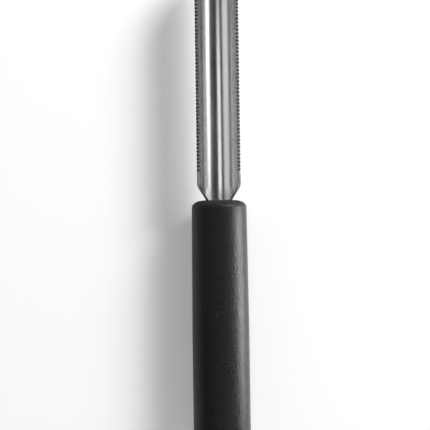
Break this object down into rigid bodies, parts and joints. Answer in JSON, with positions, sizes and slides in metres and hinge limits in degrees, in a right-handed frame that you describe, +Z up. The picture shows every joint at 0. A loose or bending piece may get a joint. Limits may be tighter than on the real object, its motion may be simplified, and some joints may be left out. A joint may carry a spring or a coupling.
{
  "type": "clay modeling tool",
  "caption": "Hand tool with a half-round hollow steel blade, toothed along both rims, in a round soft black grip, for scooping, coring and shaving clay.",
  "frame": {"origin": "on the table under the middle of the tool's length, with the tool lying on its grip", "axes": "+Y along the tool from the butt to the blade's tip, +Z up out of the blade's hollow, X across"},
  "size_m": [0.025, 0.225, 0.025],
  "materials": {
    "blade_steel": "satin stainless sheet",
    "grip_rubber": "matte, fine moulded grain",
    "core_plastic": "moulded",
    "rivet_metal": "plain"
  },
  "bodies": {
    "root": {"blade": "blade_steel", "grip": "grip_rubber", "core_lower": "core_plastic", "core_upper": "core_plastic", "front_rivet_socket": "rivet_metal", "front_rivet_pin": "rivet_metal", "rear_rivet_socket": "rivet_metal", "rear_rivet_pin": "rivet_metal"}
  },
  "joints": []
}
